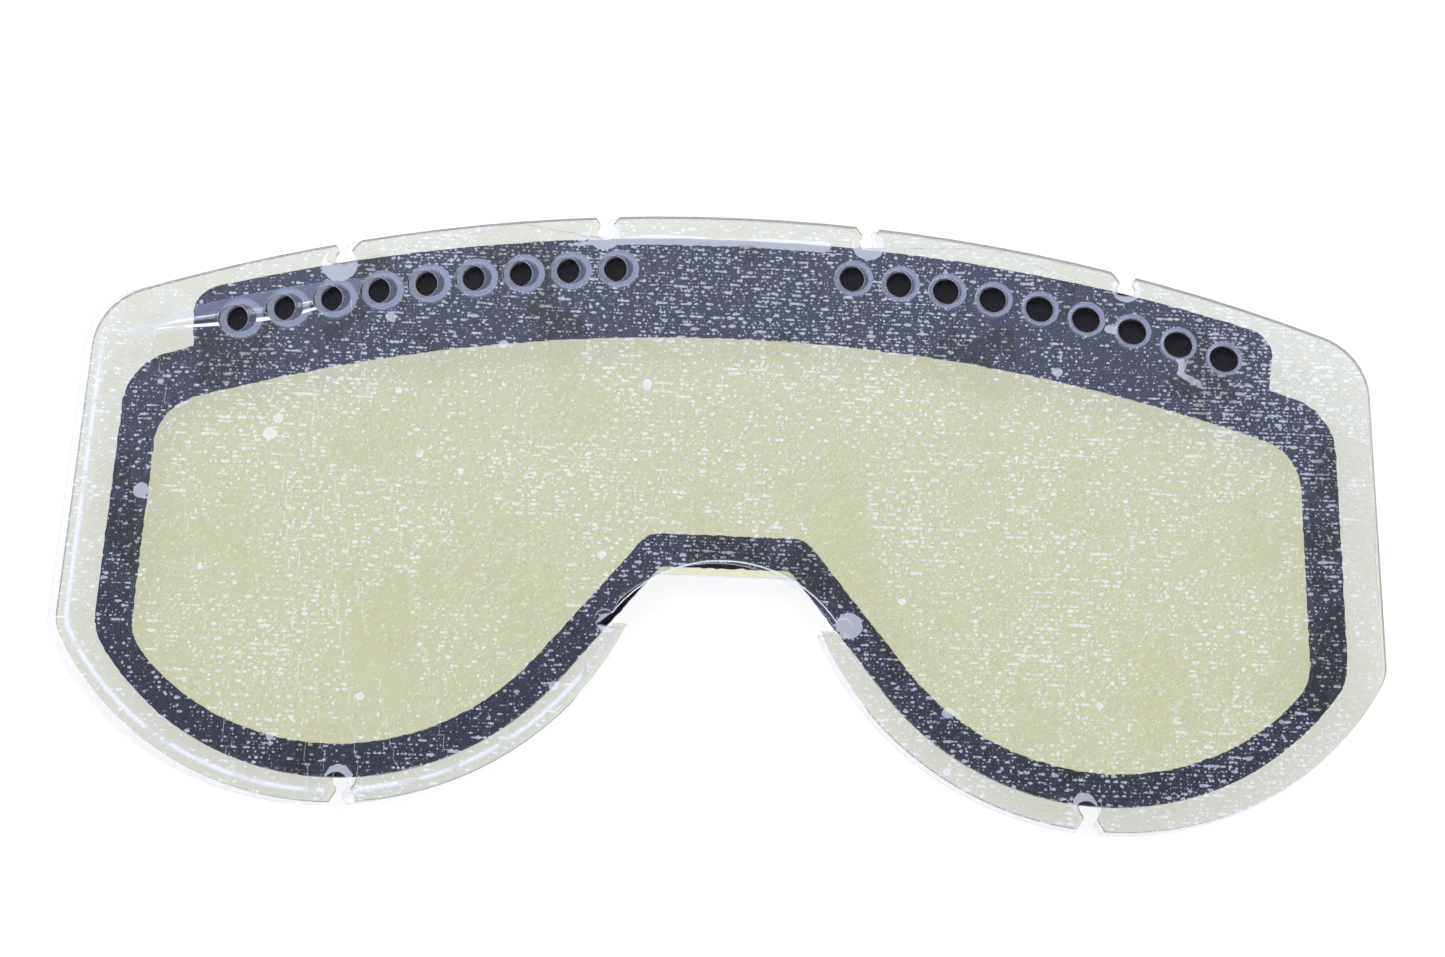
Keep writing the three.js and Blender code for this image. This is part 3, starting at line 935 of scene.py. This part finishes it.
def film_underside():
    finish = Finish("film_underside")
    off_vents = finish.ramp(vent_distance(finish)[0], VENT_RADIUS, VENT_RADIUS + 0.1)
    ragged = finish.times(finish.minus(finish.noise(finish.place(), 1.3, 3.0), 0.5), 0.5)
    inside = finish.plus(read(finish, "lifted"), ragged)
    off = finish.ramp(inside, 0.0, 0.07)
    blister = finish.ramp(finish.plus(read(finish, "blistered"), ragged), 0.0, 0.07)
    air = finish.times(caught_air(finish), finish.minus(1.0, finish.most(off, blister)))
    patchy = finish.ramp(finish.noise(finish.place(), 2.2, 3.0), 0.3, 0.7, 0.6, 1.0)
    # white: the painted highlights along the folds
    white, clear = fold_highlights(finish, off_vents)
    edge = finish.ramp(read(finish, "edge_in"), 0.02, 0.22, EDGE_VEIL, 0.0)

    veil = finish.plus(wet_haze_and_painted_reflection(finish), finish.times(air, patchy, AIR_VEIL))
    veil = finish.plus(veil, finish.most(off_veil(finish, inside, off, off_vents),
                                         finish.times(blister, BLISTER_VEIL)))
    veil = finish.most(finish.times(veil, finish.minus(1.0, clear)), white, edge)

    tone = finish.colour(finish.most(air, blister), THIN_VEIL_REFLECTION_TONE, THICK_TONE)
    tone = finish.colour(finish.times(edge, 2.5), tone, EDGE_TONE)
    tone = finish.colour(white, tone, FOLD_HIGHLIGHT_TONE)
    through = finish.add("BsdfTransparent", {"Color": (0.95, 0.95, 0.945, 1)}).outputs[0]
    haze = finish.add("BsdfPrincipled", {"Base Color": tone, "Roughness": 0.6,
                                         "Specular IOR Level": 0.2}).outputs[0]
    shine = finish.add("BsdfAnisotropic", {"Color": (1, 1, 1, 1), "Roughness": 0.1}).outputs[0]
    gap = finish.plus(0.05, finish.most(off, air))
    return finish.finish(finish.mix(mirror_share(finish, finish.times(gap, 0.15)),
                                    finish.mix(veil, through, haze), shine))


# %% The film's upper side
def woven_relief(finish):
    """The film's crosswise grain and slow waves."""
    grain = finish.noise(finish.place((0.4, 2.2, 1)), 1.0, 2.0)
    waves = finish.noise(finish.place(), 0.12, 2.0)
    return finish.bump(grain, 0.005, 0.3, finish.bump(waves, 0.2, 0.3))


def fold_gloss(finish):
    """The film mirrors more where it is bent, because there its surface is stretched smooth."""
    bent = finish.ramp(finish.size(read(finish, "across")), 1.0, 1.6, 1.0, 0.0)
    rolled = finish.times(line(finish, read(finish, "fold_in"), 0.4, 1.4),
                          read(finish, "curl"))
    return finish.plus(0.1, finish.times(finish.most(bent, rolled), 0.3))


film_face_finish = clear_sheet("film_face", (0.95, 0.95, 0.945), (0.8, 0.8, 0.8), dust_share,
                               fold_gloss, 0.2, woven_relief)

# %% Make the film a piece with a thickness
film = new_piece("creased_film", film_sheet,
                 [film_face_finish, film_underside(), film_edge_finish],
                 "outer_film", "outer_masking_film")
for polygon in film.data.polygons:
    polygon.use_smooth = True
thicken = film.modifiers.new("thickness", "SOLIDIFY")
thicken.thickness = (film_high.z - film_low.z)
thicken.offset = -1
thicken.material_offset = 1
thicken.material_offset_rim = 2

# %% [markdown]
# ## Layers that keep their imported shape
# The two tape layers and the film on the back are plain flat sheets already, so they only
# need their finishes.

# %% Finish the flat layers
for name, material in (("outer_adhesive", tape_finish), ("inner_adhesive", tape_finish),
                       ("inner_masking_film", back_film_finish)):
    slots = nodes[name].material_slots
    for slot in slots:
        slot.material = material
    print(name, len(slots), "slot")

# %% [markdown]
# ## Table and light
# A plain white table, brightly lit, so that it shows as pure white and the clear sheets show
# by what they take away. The room is bright all round and dim straight above, where the
# camera is: that is what keeps the black foam dark under three glossy surfaces.

# %% Table
bpy.ops.mesh.primitive_plane_add(size=4, location=(0, 0, -CONTACT_GAP * MM))
table = bpy.context.object
table.name = "table"
white = Finish("table_white")
table.data.materials.append(white.finish(white.add(
    "BsdfPrincipled", {"Base Color": (0.14, 0.14, 0.14, 1), "Roughness": 0.8,
                       "Specular IOR Level": 0.0, "Emission Color": (1, 1, 1, 1),
                       "Emission Strength": 0.87}).outputs[0]))

# %% Room light
DIM_POLE = Vector((0, -0.342, 0.94))
ROOM_GLOW = 2.6
OVERHEAD_TONE = (0.88, 0.93, 1.22, 1)

world = bpy.data.worlds.new("room")
bpy.context.scene.world = world
world.use_nodes = True
room = Nodes(world.node_tree)
direction = room.add("TexCoord").outputs["Generated"]
towards = room.add("VectorMath", {0: direction, 1: DIM_POLE},
                   operation="DOT_PRODUCT").outputs["Value"]
glow = room.ramp(towards, 0.95, 0.35, 0.0, ROOM_GLOW, "LINEAR")
whiteness = room.ramp(towards, 0.7, 0.35, 0.0, 1.0, "LINEAR")
tone = room.colour(whiteness, OVERHEAD_TONE, (1, 1, 1, 1))
back = room.add("Background", {"Color": tone, "Strength": glow})
room.add("OutputWorld", {"Surface": back.outputs[0]})
print("room of", len(room.tree.nodes), "nodes")

# %% Lamps
def lamp(name, place, size, power, colour=(1, 1, 1)):
    """A rectangular lamp at place, in millimetres, that faces the lens."""
    light = bpy.data.lights.new(name, "AREA")
    light.shape = "RECTANGLE"
    light.size, light.size_y = size[0] * MM, size[1] * MM
    light.energy = power
    light.color = colour
    holder = bpy.data.objects.new(name, light)
    holder.location = Vector(place) * MM
    holder.rotation_euler = (-Vector(place)).to_track_quat("-Z", "Y").to_euler()
    bpy.context.scene.collection.objects.link(holder)


lamp("back_lamp", (-100, 520, 600), (800, 250), 4.5)
lamp("back_strip", (-250, 420, 330), (200, 80), 0.8)

# %% How light passes and how it is shown
scene = bpy.context.scene
scene.cycles.use_denoising = True
scene.cycles.transparent_max_bounces = 40
scene.cycles.max_bounces = 5
scene.cycles.diffuse_bounces = 2
scene.cycles.glossy_bounces = 2
scene.view_settings.view_transform = "Standard"
scene.view_settings.look = "None"

bpy.context.view_layer.update()
